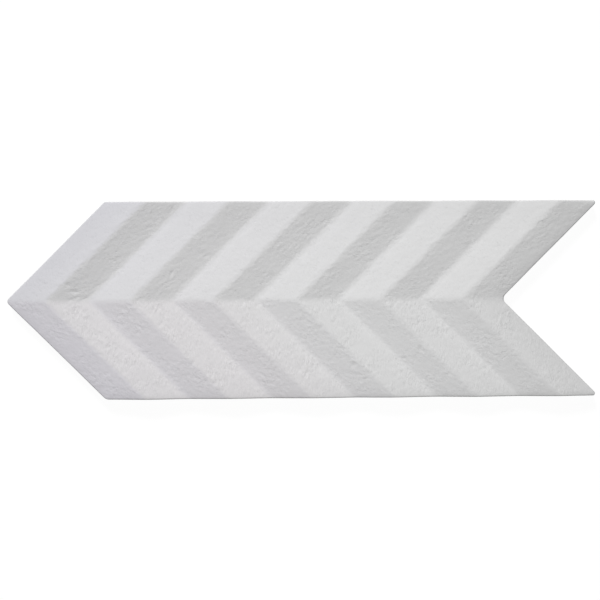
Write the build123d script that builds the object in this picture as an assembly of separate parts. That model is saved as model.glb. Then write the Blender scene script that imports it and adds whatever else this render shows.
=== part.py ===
from build123d import *

import os
from math import asin, atan2, cos, hypot, sin

# An arrow-shaped ceramic wall tile, pressed and fired in one piece.
# The face is pleated into chevron ridges that run out from the centre line, parallel to the
# slanted ends. Valleys fall on the joints, so that the pleats carry on into the next tile.
# The notch takes the point of a like tile. Shallow grooves in the back key into the adhesive.
#
# Frame: +X runs from the point to the notch, +Y across the tile, +Z up out of the face.
# The origin is the middle of the overall box, on the bedding plane of the back.

# Driving dimensions, in millimetres
long_edge = 250.0  # each straight long edge, and the way from the point to the notch
tile_width = 99.5
point_depth = 49.75  # how far the point stands out past its shoulders, and the notch runs in
valley_thickness = 7.5  # from the bedding plane to the floor of a valley
ridge_height = 2.5  # from the floor of a valley to the crest of a ridge
ridge_count = 6
joint_width = 1.0  # grout joint to the next tile, with a valley along its middle
crest_radius = 14.0  # rounding of a crest, in the lengthwise section
valley_radius = 18.0  # rounding of a valley floor, in the same section
point_radius = 2.0
notch_radius = 3.0
shoulder_radius = 1.2  # the four corners at the ends of the long edges
rim_radius = 0.6  # rounding between the face and the sides
groove_depth = 0.8
groove_count = 8
groove_margin = 8.0  # flat land between the grooves and the tile's sides
groove_land = 4.0  # flat land between two grooves
groove_draft = 25.0  # degrees that a groove's walls lean, so that the die comes free

# Sizes that follow from them
half_width = tile_width / 2
slant = atan2(half_width, point_depth)  # angle between a slanted end and the long edges
joint_run = joint_width / sin(slant)  # the joint at a slanted end, measured along the tile
half_pitch = (long_edge + joint_run) / ridge_count / 2
crest_thickness = valley_thickness + ridge_height
nose_x = -(long_edge + point_depth) / 2
notch_x = nose_x + long_edge


def facet_angle():
    """Slope of a facet in the lengthwise section that gives the ridge height between the roundings."""
    radii = crest_radius + valley_radius
    reach = hypot(half_pitch, radii - ridge_height)
    return asin(radii / reach) - atan2(radii - ridge_height, half_pitch)


def lengthwise_section():
    """The tile cut along its centre line: flat back, rounded zigzag face, half a pleat over at each end."""
    rounding = 1 / cos(facet_angle()) - 1
    sharp_floor = valley_thickness - valley_radius * rounding
    sharp_crest = crest_thickness + crest_radius * rounding
    first_valley = nose_x - joint_run / 2
    folds = range(-1, 2 * ridge_count + 2)
    zigzag = [
        (first_valley + fold * half_pitch, sharp_crest if fold % 2 else sharp_floor)
        for fold in folds
    ]
    radii = [crest_radius if fold % 2 else valley_radius for fold in folds]
    face_line = FilletPolyline(*zigzag, radius=radii[1:-1])
    (first_x, _), (last_x, _) = zigzag[0], zigzag[-1]
    back_line = Polyline(zigzag[0], (first_x, 0), (last_x, 0), zigzag[-1])
    return Plane.XZ * make_face(face_line + back_line)


def outline():
    """The arrow seen from above, with every corner rounded."""
    shoulder_x = nose_x + point_depth
    barb_x = notch_x + point_depth
    corners = [
        ((nose_x, 0), point_radius),
        ((shoulder_x, -half_width), shoulder_radius),
        ((barb_x, -half_width), shoulder_radius),
        ((notch_x, 0), notch_radius),
        ((barb_x, half_width), shoulder_radius),
        ((shoulder_x, half_width), shoulder_radius),
    ]
    points, radii = zip(*corners)
    return make_face(FilletPolyline(*points, radius=radii, close=True))


def rim_edges(half):
    """Edges where the pleated face meets the tile's own sides, without the cut along the centre line."""
    upright = half.faces().filter_by(lambda face: round(face.normal_at().Z, 3) == 0)
    sides = upright.sort_by(Axis.Y)[1:]
    return sides.edges().filter_by(lambda edge: edge.bounding_box().min.Z > valley_thickness / 2)


def pleated_half():
    """The +Y half: the section pushed along the slant past the long edge, then trimmed and its rim eased."""
    pleats = extrude(
        lengthwise_section(),
        amount=2 * hypot(point_depth, half_width),
        dir=(point_depth, half_width, 0),
    )
    half = pleats & extrude(outline(), amount=2 * crest_thickness)
    return fillet(rim_edges(half), rim_radius)


def key_grooves():
    """Round-ended grooves along the back, each as far from the nose's slant as from the notch's."""
    lane = (tile_width - 2 * groove_margin + groove_land) / groove_count
    groove_width = lane - groove_land
    setback = (groove_margin + groove_width / 2) / sin(slant)
    mouth = SlotCenterToCenter(long_edge - 2 * setback, groove_width)
    grooves = []
    for index in range(groove_count):
        across = (index - (groove_count - 1) / 2) * lane
        along = (nose_x + notch_x) / 2 + abs(across) * point_depth / half_width
        grooves.append(extrude(Pos(along, across) * mouth, amount=groove_depth, taper=groove_draft))
    return grooves


half = pleated_half()
tile = half + mirror(half, about=Plane.XZ)
tile -= key_grooves()
tile = Pos(X=-tile.bounding_box().center().X) * tile

os.makedirs("parts", exist_ok=True)
export_step(tile, "parts/arrow_tile.step")
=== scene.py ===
import math

import bpy
import numpy as np
from mathutils import Matrix, Vector
from mathutils.geometry import delaunay_2d_cdt


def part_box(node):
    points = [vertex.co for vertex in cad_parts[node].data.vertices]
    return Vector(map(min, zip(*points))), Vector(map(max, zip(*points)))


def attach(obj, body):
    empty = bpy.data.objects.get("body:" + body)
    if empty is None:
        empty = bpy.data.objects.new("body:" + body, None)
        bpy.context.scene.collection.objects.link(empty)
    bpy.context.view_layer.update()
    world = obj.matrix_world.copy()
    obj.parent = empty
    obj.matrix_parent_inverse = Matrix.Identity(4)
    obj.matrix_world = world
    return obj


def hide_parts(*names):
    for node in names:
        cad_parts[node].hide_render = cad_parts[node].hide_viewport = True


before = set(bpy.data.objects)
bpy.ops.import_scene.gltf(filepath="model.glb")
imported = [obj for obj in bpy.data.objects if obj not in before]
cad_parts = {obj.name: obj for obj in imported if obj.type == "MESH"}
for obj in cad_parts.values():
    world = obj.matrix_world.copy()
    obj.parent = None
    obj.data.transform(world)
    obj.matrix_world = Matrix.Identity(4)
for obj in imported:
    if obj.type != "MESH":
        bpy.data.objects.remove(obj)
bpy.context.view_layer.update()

# An arrow-shaped wall tile with a pleated, stone-like face under matt white glaze.
# A flat blank has the tile's outline, sides and grooved back. A press made of geometry nodes raises the
# pleats and the grain on it, and the glaze takes its tones from the marks that the press leaves.

MM = 0.001

# Sizes of the tile, the same as in its solid
TILE_LOW, TILE_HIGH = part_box("arrow_tile")
HALF_WIDTH = TILE_HIGH.y
LONG_EDGE = 250 * MM
POINT_DEPTH = 49.75 * MM
VALLEY_THICKNESS = 7.5 * MM
RIDGE_HEIGHT = 2.5 * MM
RIDGE_COUNT = 6
JOINT_WIDTH = 1.0 * MM
CREST_RADIUS = 14 * MM
VALLEY_RADIUS = 18 * MM
POINT_RADIUS = 2 * MM
NOTCH_RADIUS = 3 * MM
SHOULDER_RADIUS = 1.2 * MM
RIM_RADIUS = 0.6 * MM
GROOVE_DEPTH = 0.8 * MM
GROOVE_COUNT = 8
GROOVE_MARGIN = 8 * MM
GROOVE_LAND = 4 * MM
GROOVE_DRAFT = math.radians(25)

# Sizes that follow from them
LEAN = POINT_DEPTH / HALF_WIDTH  # how far a slanted end runs back for each unit across
SLANT = math.hypot(1, LEAN)  # way along the tile for each unit square to a slanted end
NOSE_X = TILE_LOW.x - POINT_RADIUS * (SLANT - 1)
NOTCH_X = NOSE_X + LONG_EDGE
JOINT_RUN = JOINT_WIDTH * SLANT
HALF_PITCH = (LONG_EDGE + JOINT_RUN) / RIDGE_COUNT / 2


# Sums in node trees


class Field:
    """A value inside a node tree, so that a rule of the press or the glaze reads as a sum."""

    def __init__(self, tree, socket):
        self.tree = tree
        self.socket = socket

    def apply(self, operation, *others):
        node = self.tree.nodes.new("ShaderNodeMath")
        node.operation = operation
        for slot, value in zip(node.inputs, (self, *others)):
            feed(self.tree, slot, value)
        return Field(self.tree, node.outputs[0])

    def __add__(self, other):
        return self.apply("ADD", other)

    def __sub__(self, other):
        return self.apply("SUBTRACT", other)

    def __mul__(self, other):
        return self.apply("MULTIPLY", other)

    def __truediv__(self, other):
        return self.apply("DIVIDE", other)

    def __abs__(self):
        return self.apply("ABSOLUTE")

    __radd__ = __add__
    __rmul__ = __mul__

    def __rsub__(self, other):
        return self * -1 + other

    def least(self, other):
        return self.apply("MINIMUM", other)

    def most(self, other):
        return self.apply("MAXIMUM", other)

    def above(self, other):
        return self.apply("GREATER_THAN", other)

    def root(self):
        return self.apply("SQRT")

    def fraction(self):
        return self.apply("FRACT")

    def fading(self, reach):
        """1 where this is 0, falling away over the reach."""
        return (self / reach * -1).apply("EXPONENT")

    def past(self, border, reach):
        """0 before a border and 1 past it, changing over a reach with the border in its middle."""
        return ((self - border) / reach + 0.5).most(0.0).least(1.0)


def feed(tree, slot, value):
    if isinstance(value, Field):
        tree.links.new(value.socket, slot)
    else:
        slot.default_value = value


def node_value(tree, kind, output=0, inputs=None, **settings):
    """One node with its settings and inputs, as the field that it gives."""
    node = tree.nodes.new(kind)
    for name, value in settings.items():
        setattr(node, name, value)
    for name, value in (inputs or {}).items():
        feed(tree, node.inputs[name], value)
    return Field(tree, node.outputs[output])


def joined(tree, x, y, z):
    return node_value(tree, "ShaderNodeCombineXYZ", inputs={"X": x, "Y": y, "Z": z})


def split(tree, vector):
    node = tree.nodes.new("ShaderNodeSeparateXYZ")
    feed(tree, node.inputs[0], vector)
    return [Field(tree, socket) for socket in node.outputs]


def mixed(share, first, second):
    return first + (second - first) * share


def noise(tree, x, y, z, detail=0.0, roughness=0.5):
    """Smooth noise that swings half a unit each way, with one swell to each unit of x, y and z."""
    inputs = {
        "Vector": joined(tree, x, y, z),
        "Scale": 1.0,
        "Detail": detail,
        "Roughness": roughness,
    }
    return node_value(tree, "ShaderNodeTexNoise", inputs=inputs) - 0.5


def stroke_noise(tree, place, seed, turn, length, width, strength):
    """Grain about zero whose strokes lie at a turn from the tile's length."""
    x, y, z = place
    along = (x * math.cos(turn) + y * math.sin(turn)) / length
    across = (y * math.cos(turn) - x * math.sin(turn)) / width
    return noise(tree, along, across, z / width + seed + turn, detail=1.0, roughness=0.6) * strength


def facet_grain(tree, place, seed, upper, falling, strokes):
    """The grain of whichever facet a place is on, with the four running into each other at the folds."""
    grain = {facet: stroke_noise(tree, place, seed, *stroke) for facet, stroke in strokes.items()}
    lower_half = mixed(falling, grain["lower rising"], grain["lower falling"])
    upper_half = mixed(falling, grain["upper rising"], grain["upper falling"])
    return mixed(upper, lower_half, upper_half)


# The flat blank

# How finely it is meshed
FACE_STEP = 0.57 * MM
RIM_TURNS = 4
RIM_BORDER = 0.2 * MM
SIDE_LEVELS = 6
GROOVE_END_STEPS = 20
INSIDE_EDGES = 1  # the kind of triangulation that leaves out what lies past the outline
WELD = 1e-6  # how close two points of the back count as one, in millimetres

# Where pressing has softened its plan
CREASE_RADIUS = 1.6 * MM  # of the folds, where they cross the centre line
CORNER_FADE = 6 * MM  # how far in from the ends the roundings of the corners are felt
WORN_SHOULDER_RADIUS = 3.5 * MM

# Marks on its points: the way along the pleats, the distance in from the outline, and a lift that is 1 on
# the face, 0 on the back and between them on the sides
BLANK_MARKS = ("run", "edge", "lift")


class Blank:
    """Points with their marks, and the faces between them."""

    def __init__(self):
        self.points = np.empty((0, 3))
        self.marks = np.empty((0, 3))
        self.faces = []

    def add(self, points, marks):
        """Adds points and gives the numbers that they got."""
        first = len(self.points)
        self.points = np.concatenate([self.points, points])
        self.marks = np.concatenate([self.marks, marks])
        return np.arange(first, len(self.points))

    def band(self, ring, next_ring):
        """Adds the faces between two rings that run the same way round."""
        corners = (ring, next_ring, np.roll(next_ring, -1), np.roll(ring, -1))
        self.faces += np.stack(corners, axis=1).tolist()

    def mesh(self, name):
        mesh = bpy.data.meshes.new(name)
        mesh.from_pydata(self.points.tolist(), [], self.faces)
        for mark, values in zip(BLANK_MARKS, self.marks.T):
            layer = mesh.attributes.new(mark, "FLOAT", "POINT")
            layer.data.foreach_set("value", values.astype(np.float32))
        return mesh


def stations(length, insets, step):
    """Places from 0 to length: at the insets from both ends, and evenly spaced between them."""
    count = 2 * round((length - 2 * insets[-1]) / step / 2)
    middle = np.linspace(insets[-1], length - insets[-1], count + 1)
    return np.concatenate([insets[:-1], middle, length - insets[-2::-1]])


def blunted(across, radius):
    """How far the slant has run back at a place across the tile, with its fold at the centre rounded."""
    tangent = radius * LEAN / SLANT
    arc = radius * SLANT - np.sqrt(np.maximum(radius**2 - across**2, 0))
    return np.where(np.abs(across) < tangent, arc, LEAN * np.abs(across))


def corner_cut(across, side, radius):
    """How far the rounding of a long edge's corner moves its slanted end.

    side is 1 at the nose and -1 at the notch.
    """
    rise = np.abs(across) - HALF_WIDTH + radius
    starts = side * radius * LEAN / SLANT
    drop = np.sqrt(np.maximum(radius**2 - rise**2, 0))
    return np.where(rise > starts, radius * SLANT - drop - side * LEAN * rise, 0)


def plan(run, across):
    """Place along the tile for a place along the pleats and one across the tile."""
    near_nose = np.exp(-run / CORNER_FADE)
    near_notch = np.exp((run - LONG_EDGE) / CORNER_FADE)
    radius = CREASE_RADIUS + (POINT_RADIUS - CREASE_RADIUS) * near_nose
    radius = radius + (NOTCH_RADIUS - CREASE_RADIUS) * near_notch
    shoulder = np.where(across < 0, WORN_SHOULDER_RADIUS, SHOULDER_RADIUS)
    corners = corner_cut(across, 1, shoulder) * near_nose
    corners = corners - corner_cut(across, -1, SHOULDER_RADIUS) * near_notch
    return NOSE_X + run + blunted(across, radius) + corners


def lay_face(blank):
    """Lays the face out as a grid along the pleats and across the tile, and gives its outline."""
    turns = np.linspace(0, math.pi / 2, RIM_TURNS + 1)
    insets = np.append(RIM_RADIUS * (1 - np.cos(turns)), RIM_RADIUS + RIM_BORDER)
    runs = stations(LONG_EDGE, insets * SLANT, FACE_STEP)
    rows = stations(2 * HALF_WIDTH, insets, FACE_STEP) - HALF_WIDTH
    run, across = np.meshgrid(runs, rows)
    from_ends = np.minimum(run, LONG_EDGE - run) / SLANT
    edge = np.minimum(HALF_WIDTH - np.abs(across), from_ends)
    height = np.full_like(run, VALLEY_THICKNESS)
    points = np.stack([plan(run, across), across, height], axis=2)
    marks = np.stack([run, edge, np.ones_like(run)], axis=2)
    number = blank.add(points.reshape(-1, 3), marks.reshape(-1, 3)).reshape(run.shape)
    corners = (number[:-1, :-1], number[:-1, 1:], number[1:, 1:], number[1:, :-1])
    blank.faces += np.stack(corners, axis=2).reshape(-1, 4).tolist()
    return np.concatenate([number[0, :-1], number[:-1, -1], number[-1, :0:-1], number[:0:-1, 0]])


def drop_sides(blank, outline):
    """Drops the sides from the face's outline in levels, and gives the outline of the back."""
    above = outline
    for level in range(1, SIDE_LEVELS + 1):
        lowered = (1, 1, 1 - level / SIDE_LEVELS)
        below = blank.add(blank.points[outline] * lowered, blank.marks[outline] * lowered)
        blank.band(above, below)
        above = below
    return above


def groove_rings():
    """Mouth and floor of each groove in the back, as rings of points."""
    lane = (2 * HALF_WIDTH - 2 * GROOVE_MARGIN + GROOVE_LAND) / GROOVE_COUNT
    radius = (lane - GROOVE_LAND) / 2
    reach = LONG_EDGE / 2 - (GROOVE_MARGIN + radius) * SLANT
    end = np.linspace(-math.pi / 2, math.pi / 2, GROOVE_END_STEPS + 1)
    turn = np.concatenate([end, end + math.pi])
    ends = np.repeat([reach, -reach], len(end))
    levels = ((0, radius), (GROOVE_DEPTH, radius - GROOVE_DEPTH * math.tan(GROOVE_DRAFT)))
    for index in range(GROOVE_COUNT):
        across = (index - (GROOVE_COUNT - 1) / 2) * lane
        along = (NOSE_X + NOTCH_X) / 2 + LEAN * abs(across)
        rings = []
        for height, size in levels:
            x = along + ends + size * np.cos(turn)
            y = across + size * np.sin(turn)
            rings.append(np.stack([x, y, np.full_like(x, height)], axis=1))
        yield rings


def sink_grooves(blank):
    """Sinks the grooves into the back, and gives their mouths."""
    mouths = []
    for mouth_points, floor_points in groove_rings():
        mouth = blank.add(mouth_points, np.zeros_like(mouth_points))
        floor = blank.add(floor_points, np.zeros_like(floor_points))
        blank.band(mouth, floor)
        blank.faces.append(floor[::-1].tolist())
        mouths.append(mouth)
    return mouths


def fill_back(blank, rings):
    """Fills the flat back between its outline, which is the first ring, and the mouths of the grooves."""
    numbers = np.concatenate(rings)
    owner = np.repeat(np.arange(len(rings)), [len(ring) for ring in rings])
    order = np.arange(len(numbers))
    edges = []
    for index in range(len(rings)):
        own = order[owner == index]
        edges += np.stack([own, np.roll(own, -1)], axis=1).tolist()
    places = [Vector(point[:2]) / MM for point in blank.points[numbers]]
    _, _, triangles, origins, _, _ = delaunay_2d_cdt(places, edges, [], INSIDE_EDGES, WELD)
    land = np.array([[origins[corner][0] for corner in triangle] for triangle in triangles])
    met = owner[land]
    in_groove = (met[:, 0] > 0) & (met == met[:, :1]).all(axis=1)
    facing_down = land[~in_groove, ::-1]
    blank.faces += numbers[facing_down].tolist()


def flat_blank():
    """The closed tile before its face is pressed, with the marks that tell the press where it is."""
    blank = Blank()
    back_outline = drop_sides(blank, lay_face(blank))
    mouths = sink_grooves(blank)
    fill_back(blank, [back_outline, *mouths])
    return blank.mesh("arrow_tile_face")


# The press


def facet_angle():
    """Slope of a facet along the tile that gives the ridge height between the roundings."""
    radii = CREST_RADIUS + VALLEY_RADIUS
    reach = math.hypot(HALF_PITCH, radii - RIDGE_HEIGHT)
    return math.asin(radii / reach) - math.atan2(radii - RIDGE_HEIGHT, HALF_PITCH)


# Its inputs: first the form, as in the solid, then what keeps a pressed face from being as true as its die
PRESS_SIZES = {
    "First Valley": -JOINT_RUN / 2,
    "Half Pitch": HALF_PITCH,
    "Ridge Height": RIDGE_HEIGHT,
    "Facet Slope": math.tan(facet_angle()),
    "Crest Radius": CREST_RADIUS,
    "Crest Reach": CREST_RADIUS * math.sin(facet_angle()),
    "Valley Radius": VALLEY_RADIUS,
    "Valley Reach": VALLEY_RADIUS * math.sin(facet_angle()),
    "Rim Radius": RIM_RADIUS,
    "Rim Fall": 0.3 * MM,
    "Rim Reach": 1.4 * MM,
    "Face Wander": 0.5 * MM,
    "Wander Size": 9 * MM,
    "Crest Jag": 2.2 * MM,
    "Valley Jag": 1.3 * MM,
    "Upper Jag Share": 1.25,
    "Lower Jag Share": 0.75,
    "Jag Size": 3.4 * MM,
    "Jag Reach": 2.5 * MM,
    "Outline Wander": 0.12 * MM,
    "Outline Size": 22 * MM,
    "Grain Depth": 0.32 * MM,
    "Grain Blend": 2 * MM,
    "Grain Seed": 7.3,
    "Upper Patch Contrast": 2.1,
    "Lower Patch Contrast": 3.2,
    "Patch Size": 9 * MM,
    "Least Grit": 0.4,
    "Swell Depth": 0.2 * MM,
    "Swell Size": 11 * MM,
    "Chip Depth": 0.5 * MM,
    "Chip Size": 1.8 * MM,
    "Chip Reach": 1.5 * MM,
    "Chip Start": 0.02,
}
FULL_SWING = 2  # noise swings half a unit each way, so twice it swings a whole one

# Slice of the noise that each use takes, so that no two are alike
NOISE_SLICES = {
    "wander": 0.0,
    "patches": 7.0,
    "swells": 9.0,
    "outline along": 11.0,
    "chips": 13.0,
    "jags": 15.0,
    "outline across": 17.0,
}

# Strokes of the stone grain on each facet: turn from the length, length and width of a stroke, strength
COARSE_STROKES = {
    "upper rising": (math.radians(109), 2.2 * MM, 1.5 * MM, 0.65),
    "upper falling": (math.radians(21), 2.0 * MM, 1.8 * MM, 1.05),
    "lower rising": (math.radians(1), 1.9 * MM, 1.7 * MM, 1.1),
    "lower falling": (math.radians(80), 3.0 * MM, 1.2 * MM, 1.5),
}

# Nicks that the die left, in millimetres and degrees: place along and across, turn, half length, half
# width, depth
NICKS = (
    (-114.8, 4.7, -6, 2.5, 0.7, 0.42),
    (-118.2, 8.3, -6, 1.9, 0.75, 0.26),
    (-117.0, 0.6, 0, 1.4, 0.6, 0.16),
    (-113.3, 1.9, 5, 1.2, 0.6, 0.16),
    (-109.8, 1.2, 25, 1.9, 0.6, 0.16),
    (-66.2, 14.0, 50, 1.6, 0.6, 0.19),
    (-48.9, 22.3, 10, 1.3, 0.6, 0.20),
    (-65.5, 46.5, 60, 1.8, 0.6, 0.16),
    (-71.9, -12.0, 60, 1.2, 0.6, 0.24),
    (-55.8, -31.5, 60, 1.4, 0.6, 0.30),
    (-44.9, -41.4, 50, 1.1, 0.6, 0.28),
    (-2.0, -34.9, 60, 1.8, 0.6, 0.26),
    (1.6, -37.4, 55, 1.7, 0.6, 0.34),
    (8.7, -14.0, 40, 1.6, 0.6, 0.24),
    (25.0, -33.0, 50, 1.2, 0.6, 0.24),
)

# Marks that it leaves: the way from a valley, 1 on falling facets and on the upper half, and how strong the
# grain is
PRESS_MARKS = ("valley", "falling", "upper", "grit")

SHARP_ANGLE = math.radians(40)


def sag(radius, way):
    """How far an arc has left its tangent, a way along."""
    return radius - (radius * radius - way * way).root()


def from_folds(run, half_pitch):
    """The way from the nearest crest and the nearest valley, and 1 where the pleat is past its crest."""
    turn = (run / half_pitch * 0.5).fraction()
    from_crest = abs(turn - 0.5) * half_pitch * 2
    return from_crest, half_pitch - from_crest, turn.above(0.5)


def pleat_height(size, from_crest, from_valley):
    """Height above a valley's floor: the arc of the crest, the straight facet, the arc of the valley."""
    facet = from_crest.most(size["Crest Reach"]).least(size["Half Pitch"] - size["Valley Reach"])
    height = size["Ridge Height"] - sag(size["Crest Radius"], from_crest.least(size["Crest Reach"]))
    height = height - (facet - size["Crest Reach"]) * size["Facet Slope"]
    height = height - sag(size["Valley Radius"], size["Valley Reach"])
    return height + sag(size["Valley Radius"], from_valley.least(size["Valley Reach"]))


def nicks(x, y):
    """Depth of the die's nicks at a place."""
    depth = 0.0
    for nick_x, nick_y, turn, length, width, deepest in NICKS:
        turn = math.radians(turn)
        from_x = x - nick_x * MM
        from_y = y - nick_y * MM
        along = (from_x * math.cos(turn) + from_y * math.sin(turn)) / (length * MM)
        across = (from_y * math.cos(turn) - from_x * math.sin(turn)) / (width * MM)
        depth = (along * along + across * across).fading(1.0) * (deepest * MM) + depth
    return depth


def press_tree(glaze):
    """The nodes that press the pleats, the rim and the stone grain, and the values for their inputs."""
    tree = bpy.data.node_groups.new("press_pleats", "GeometryNodeTree")
    tree.is_modifier = True
    tree.interface.new_socket("Geometry", in_out="INPUT", socket_type="NodeSocketGeometry")
    tree.interface.new_socket("Geometry", in_out="OUTPUT", socket_type="NodeSocketGeometry")
    settings = {}
    for name, value in PRESS_SIZES.items():
        socket = tree.interface.new_socket(name, in_out="INPUT", socket_type="NodeSocketFloat")
        settings[socket.identifier] = value
    group = tree.nodes.new("NodeGroupInput")
    size = {name: Field(tree, group.outputs[name]) for name in PRESS_SIZES}
    mark = {
        name: node_value(tree, "GeometryNodeInputNamedAttribute", data_type="FLOAT", inputs={"Name": name})
        for name in BLANK_MARKS
    }
    place = split(tree, node_value(tree, "GeometryNodeInputPosition"))
    x, y, _ = place
    seed = size["Grain Seed"]

    def swells(spacing, use, detail=0.0, roughness=0.5):
        along, across = x / size[spacing], y / size[spacing]
        return noise(tree, along, across, seed + NOISE_SLICES[use], detail, roughness)

    upper = y.past(0.0, size["Grain Blend"])

    # Folds: they wander, and jag close to crests and valleys
    run = mark["run"] - size["First Valley"]
    run = run + swells("Wander Size", "wander", 2.0, 0.6) * size["Face Wander"] * FULL_SWING
    from_crest, from_valley, _ = from_folds(run, size["Half Pitch"])
    jag = from_crest.fading(size["Jag Reach"]) * size["Crest Jag"]
    jag = jag + from_valley.fading(size["Jag Reach"]) * size["Valley Jag"]
    jag = jag * mixed(upper, size["Lower Jag Share"], size["Upper Jag Share"])
    run = run + swells("Jag Size", "jags", 1.0, 0.6) * jag * FULL_SWING
    from_crest, from_valley, past_crest = from_folds(run, size["Half Pitch"])

    # Rim: a quarter round, and a soft fall just inside it
    near_rim = mark["edge"].fading(size["Rim Reach"])
    short = (size["Rim Radius"] - mark["edge"]).most(0.0)
    rim = sag(size["Rim Radius"], short) + near_rim * size["Rim Fall"]

    # Grain: strokes drawn out one way on each facet, stronger in patches, over slow swells
    past_fold = (past_crest * 2 - 1) * from_crest.least(from_valley)
    falling = past_fold.past(0.0, size["Grain Blend"])
    contrast = mixed(upper, size["Lower Patch Contrast"], size["Upper Patch Contrast"])
    patches = swells("Patch Size", "patches", 1.0) * contrast
    grit = (patches + 1.0).most(size["Least Grit"]) * (1.0 - near_rim * mark["lift"])
    relief = facet_grain(tree, place, seed, upper, falling, COARSE_STROKES) * grit * size["Grain Depth"]
    relief = relief + swells("Swell Size", "swells", 1.0, 0.6) * size["Swell Depth"]

    # Damage: crests are chipped back here and there, and the die was nicked
    chips = (swells("Chip Size", "chips", 1.0) - size["Chip Start"]).most(0.0)
    relief = relief - chips * from_crest.fading(size["Chip Reach"]) * size["Chip Depth"]
    relief = relief - nicks(x, y)

    # Outline: the warp is the same all through the thickness
    warp_x = swells("Outline Size", "outline along") * size["Outline Wander"] * FULL_SWING
    warp_y = swells("Outline Size", "outline across") * size["Outline Wander"] * FULL_SWING
    rise = (pleat_height(size, from_crest, from_valley) - rim + relief) * mark["lift"]

    geometry = node_value(
        tree,
        "GeometryNodeSetPosition",
        inputs={
            "Geometry": Field(tree, group.outputs["Geometry"]),
            "Offset": joined(tree, warp_x, warp_y, rise),
        },
    )
    for name, value in zip(PRESS_MARKS, (from_valley, falling, upper, grit)):
        geometry = node_value(
            tree,
            "GeometryNodeStoreNamedAttribute",
            inputs={"Geometry": geometry, "Name": name, "Value": value},
            data_type="FLOAT",
            domain="POINT",
        )
    geometry = node_value(tree, "GeometryNodeRealizeInstances", inputs={"Geometry": geometry})
    glazed = {"Geometry": geometry, "Material": glaze}
    geometry = node_value(tree, "GeometryNodeSetMaterial", inputs=glazed)
    output = tree.nodes.new("NodeGroupOutput")
    feed(tree, output.inputs["Geometry"], geometry)
    return tree, settings


def pressed_tile(glaze):
    tile = bpy.data.objects.new("arrow_tile_face", flat_blank())
    bpy.context.scene.collection.objects.link(tile)
    tree, settings = press_tree(glaze)
    press = tile.modifiers.new("press", "NODES")
    press.node_group = tree
    for identifier, value in settings.items():
        press[identifier] = value
    depsgraph = bpy.context.evaluated_depsgraph_get()
    evaluated = tile.evaluated_get(depsgraph)
    pressed = bpy.data.meshes.new_from_object(evaluated, preserve_all_data_layers=True, depsgraph=depsgraph)
    tile.modifiers.remove(press)
    tile.data = pressed
    pressed.shade_smooth()
    pressed.set_sharp_from_angle(angle=SHARP_ANGLE)
    return tile


# The glaze

# Tones, as shares of full white, and how far from a fold, an edge or an end of the tile each one fades; the
# darkening at the rim and at the ends is painted shade
GLAZE_TONE = 0.695
POOL_TONE = 0.043
POOL_REACH = 2.4 * MM
EDGE_LOSS = 0.045
EDGE_REACH = 11 * MM
# Painted shade along the rim
RIM_PAINTED_SHADE = 0.05
RIM_PAINTED_SHADE_REACH = 1.2 * MM
# Painted shade towards the nose and the notch, where the light falls off
NOSE_PAINTED_SHADE = 0.085
NOTCH_PAINTED_SHADE = 0.042
END_SHADE_REACH = 30 * MM
MOTTLE_TONE = 0.03
MOTTLE_SIZE = 6 * MM
SAND_TONE = 0.11
SAND_SEED = 4.0
# Painted shade in the pits of the grain: the colour darkened where they sink
PIT_PAINTED_SHADE = 0.2
PIT_SIZE = 1.2 * MM
PIT_START = 0.05
PIT_DEPTH = 2.0
FINE_STROKES = {
    "upper rising": (math.radians(109), 1.2 * MM, 0.8 * MM, 0.25),
    "upper falling": (math.radians(21), 1.1 * MM, 0.8 * MM, 1.0),
    "lower rising": (math.radians(1), 1.1 * MM, 0.8 * MM, 0.9),
    "lower falling": (math.radians(80), 1.9 * MM, 0.7 * MM, 1.5),
}

# Painted tint of coloured light towards the point: more blue on the rising facets, which face the point,
# and less green, and a little less blue, in a violet cast that is strongest on the lower half
BLUE_LIGHT_RISING = 0.05
BLUE_LIGHT_FALLING = 0.01
BLUE_LIGHT_REACH = 65 * MM
VIOLET_LIGHT_LOWER = 0.02
VIOLET_LIGHT_UPPER = 0.004
VIOLET_LIGHT_IN_BLUE = 0.4
VIOLET_LIGHT_END = 120 * MM
VIOLET_LIGHT_BLEND = 60 * MM

# The bare body below the glaze line, whose place is a share of the way up the sides
CLAY = (0.70, 0.65, 0.58)
CLAY_MOTTLE = 0.12
CRUMB_TONE = 0.25
CRUMB_SIZE = 0.8 * MM
CRUMB_DEPTH = 1.5
GLAZE_LINE = 0.3
GLAZE_LINE_BLEND = 0.08
DRIP = 0.25
DRIP_SIZE = 14 * MM

# Surface
GLAZE_ROUGHNESS = 0.85
MOTTLE_ROUGHNESS = 0.2
BODY_ROUGHNESS = 0.95
SPECULAR_LEVEL = 0.25
BUMP_DEPTH = 0.085 * MM


def tone_with_painted_shade(mark, mottle, speckle_and_pit_shade):
    """Tone of the face: whiter where the glaze pools in the valleys and darker towards the edges, with
    painted shade along the rim and towards the ends.
    """
    pool = mark["valley"].fading(POOL_REACH) * POOL_TONE
    edge = mark["edge"].fading(EDGE_REACH) * EDGE_LOSS
    # Painted shade: the colour darkened along the rounded rim
    rim = mark["edge"].fading(RIM_PAINTED_SHADE_REACH) * RIM_PAINTED_SHADE
    # Painted shade: the colour darkened towards the nose on the upper half and towards the notch on the
    # lower half, where the light falls off
    nose = mark["run"].fading(END_SHADE_REACH) * mark["upper"] * NOSE_PAINTED_SHADE
    notch = (LONG_EDGE - mark["run"]).fading(END_SHADE_REACH) * (1.0 - mark["upper"]) * NOTCH_PAINTED_SHADE
    tone = pool + mottle * MOTTLE_TONE + GLAZE_TONE
    return tone * (1.0 - (edge + rim)) * (1.0 - nose - notch) * (speckle_and_pit_shade + 1.0)


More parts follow.
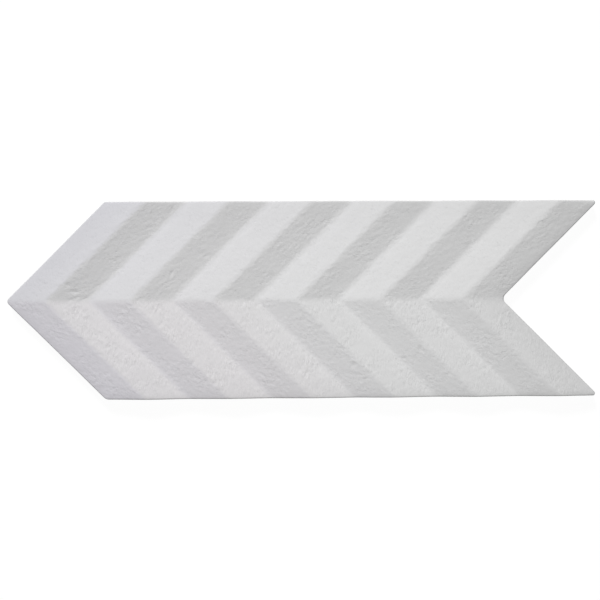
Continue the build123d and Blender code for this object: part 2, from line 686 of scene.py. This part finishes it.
def painted_light_tint(mark, tone):
    """Red, green and blue of the glaze, with a painted tint of bluish and violet light towards the point.
    """
    # Painted light: bluish light on the facets that face the point, and a violet cast fading out along the
    # tile
    blue_light = mark["run"].fading(BLUE_LIGHT_REACH) * mixed(mark["falling"], BLUE_LIGHT_RISING, BLUE_LIGHT_FALLING)
    violet_light = 1.0 - mark["run"].past(VIOLET_LIGHT_END, VIOLET_LIGHT_BLEND)
    violet_light = violet_light * mixed(mark["upper"], VIOLET_LIGHT_LOWER, VIOLET_LIGHT_UPPER)
    return tone, tone * (1.0 - violet_light), tone * (blue_light - violet_light * VIOLET_LIGHT_IN_BLUE + 1.0)


def matt_white_glaze():
    """Matt white glaze on the face and the sides, bare body on the back and the foot of the sides."""
    material = bpy.data.materials.new("matt_white_glaze")
    material.use_nodes = True
    tree = material.node_tree
    shader = tree.nodes["Principled BSDF"]
    place = split(tree, node_value(tree, "ShaderNodeTexCoord", output="Object"))
    mark = {
        name: node_value(tree, "ShaderNodeAttribute", output="Fac", attribute_name=name)
        for name in BLANK_MARKS + PRESS_MARKS
    }

    def specks(spacing, detail, roughness=0.5):
        return noise(tree, *(axis / spacing for axis in place), detail, roughness)

    mottle = specks(MOTTLE_SIZE, 3.0)
    pits = (specks(PIT_SIZE, 1.0) - PIT_START).most(0.0)
    sand = facet_grain(tree, place, SAND_SEED, mark["upper"], mark["falling"], FINE_STROKES)
    # Grain in the colour, with painted shade darkening the pits
    speckle_and_pit_shade = (sand * SAND_TONE - pits * PIT_PAINTED_SHADE) * mark["grit"]
    # The glaze's colour carries painted shade along the rim, in the pits and towards the ends, and a
    # painted tint of coloured light towards the point
    glaze = painted_light_tint(mark, tone_with_painted_shade(mark, mottle, speckle_and_pit_shade))

    bare = 1.0 - (mark["lift"] + specks(DRIP_SIZE, 2.0) * DRIP).past(GLAZE_LINE, GLAZE_LINE_BLEND)
    crumb = specks(CRUMB_SIZE, 2.0, 0.7)
    body = mottle * CLAY_MOTTLE + crumb * CRUMB_TONE + 1.0
    colour = (mixed(bare, over, body * under) for over, under in zip(glaze, CLAY))
    roughness = mixed(bare, mottle * MOTTLE_ROUGHNESS + GLAZE_ROUGHNESS, BODY_ROUGHNESS)
    relief = mixed(bare, (sand - pits * PIT_DEPTH) * mark["grit"], crumb * CRUMB_DEPTH)
    bump_inputs = {"Height": relief, "Strength": 1.0, "Distance": BUMP_DEPTH}

    feed(tree, shader.inputs["Base Color"], joined(tree, *colour))
    feed(tree, shader.inputs["Roughness"], roughness)
    feed(tree, shader.inputs["Specular IOR Level"], SPECULAR_LEVEL)
    feed(tree, shader.inputs["Normal"], node_value(tree, "ShaderNodeBump", inputs=bump_inputs))
    return material


# The studio

FLOOR_REACH = 3.0
FLOOR_DROP = 0.1 * MM
FLOOR_GREY = (0.8, 0.8, 0.8, 1)  # for the light that it throws back
SHADOW_GREY = (0.09, 0.09, 0.09, 1)  # lit share of the floor as it is seen, so that a faint shadow stays
FLOOR_GLOW = 0.94  # the rest of its white

KEY_TILT = math.radians(52)
KEY_TURN = math.radians(17)
KEY_FAR = 3.0
KEY_SIZE = 0.9
KEY_POWER = 75.5
OVERHEAD_PLACE = (0.01, -0.07, 0.5)
OVERHEAD_TARGET = (0.01, 0, 0)
OVERHEAD_SIZE = 0.3
OVERHEAD_POWER = 0.7
WHITE = (1, 1, 1, 1)
ROOM_LIGHT = 0.15

SENSOR_WIDTH = 36
CAMERA_LENS = 94.3
CAMERA_PLACE = Vector((-33.5, 22.5, 800)) * MM
CAMERA_TARGET = Vector((-1.78, -0.11, 7.5)) * MM
CAMERA_ROLL = math.radians(-0.294)


def seen_directly(tree):
    """1 for a ray that shows a surface: from the camera, or by way of gloss or glass."""
    path = tree.nodes.new("ShaderNodeLightPath")
    rays = ("Is Camera Ray", "Is Glossy Ray", "Is Transmission Ray")
    camera, glossy, through = (Field(tree, path.outputs[name]) for name in rays)
    return camera.most(glossy).most(through)


def white_floor():
    """A pale floor that shows as white, with the tile's shadow left faintly on it."""
    material = bpy.data.materials.new("white_floor")
    material.use_nodes = True
    tree = material.node_tree
    tree.nodes.clear()
    plain = node_value(tree, "ShaderNodeBsdfDiffuse", inputs={"Color": FLOOR_GREY})
    shaded = node_value(tree, "ShaderNodeBsdfDiffuse", inputs={"Color": SHADOW_GREY})
    glow = node_value(tree, "ShaderNodeEmission", inputs={"Strength": FLOOR_GLOW})
    shown = node_value(tree, "ShaderNodeAddShader", inputs={0: shaded, 1: glow})
    surface = node_value(tree, "ShaderNodeMixShader", inputs={0: seen_directly(tree), 1: plain, 2: shown})
    output = tree.nodes.new("ShaderNodeOutputMaterial")
    feed(tree, output.inputs["Surface"], surface)
    return material


def floor_sheet():
    mesh = bpy.data.meshes.new("floor")
    corners = [
        (x * FLOOR_REACH, y * FLOOR_REACH, -FLOOR_DROP)
        for x, y in ((-1, -1), (1, -1), (1, 1), (-1, 1))
    ]
    mesh.from_pydata(corners, [], [(0, 1, 2, 3)])
    floor = bpy.data.objects.new("floor", mesh)
    floor.data.materials.append(white_floor())
    bpy.context.scene.collection.objects.link(floor)


def area_light(name, place, target, size, power):
    light = bpy.data.lights.new(name, "AREA")
    light.shape = "DISK"
    light.size = size
    light.energy = power
    lamp = bpy.data.objects.new(name, light)
    lamp.location = place
    lamp.rotation_euler = (Vector(target) - Vector(place)).to_track_quat("-Z", "Y").to_euler()
    lamp.visible_camera = False
    bpy.context.scene.collection.objects.link(lamp)


def studio_light():
    """One soft key light from above the photograph's top edge, a weak overhead one, and a white room."""
    level = math.sin(KEY_TILT) * KEY_FAR
    key_place = (-math.sin(KEY_TURN) * level, math.cos(KEY_TURN) * level, math.cos(KEY_TILT) * KEY_FAR)
    area_light("key", key_place, (0, 0, 0), KEY_SIZE, KEY_POWER)
    area_light("overhead", OVERHEAD_PLACE, OVERHEAD_TARGET, OVERHEAD_SIZE, OVERHEAD_POWER)
    world = bpy.data.worlds.new("studio")
    bpy.context.scene.world = world
    world.use_nodes = True
    tree = world.node_tree
    background = tree.nodes["Background"]
    feed(tree, background.inputs["Color"], WHITE)
    feed(tree, background.inputs["Strength"], mixed(seen_directly(tree), ROOM_LIGHT, 1.0))


def photo_camera():
    """The camera that took the photograph: almost straight above the tile, turned a little."""
    data = bpy.data.cameras.new("camera")
    data.sensor_width = SENSOR_WIDTH
    data.lens = CAMERA_LENS
    camera = bpy.data.objects.new("camera", data)
    back = (CAMERA_PLACE - CAMERA_TARGET).normalized()
    right = Vector((0, 1, 0)).cross(back).normalized()
    level = Matrix((right, back.cross(right), back)).transposed()
    facing = level @ Matrix.Rotation(CAMERA_ROLL, 3, "Z")
    camera.matrix_world = Matrix.Translation(CAMERA_PLACE) @ facing.to_4x4()
    bpy.context.scene.collection.objects.link(camera)
    bpy.context.scene.camera = camera


bpy.context.scene.view_settings.view_transform = "Standard"
tile = pressed_tile(matt_white_glaze())
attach(tile, "root")
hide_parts("arrow_tile")
floor_sheet()
studio_light()
photo_camera()
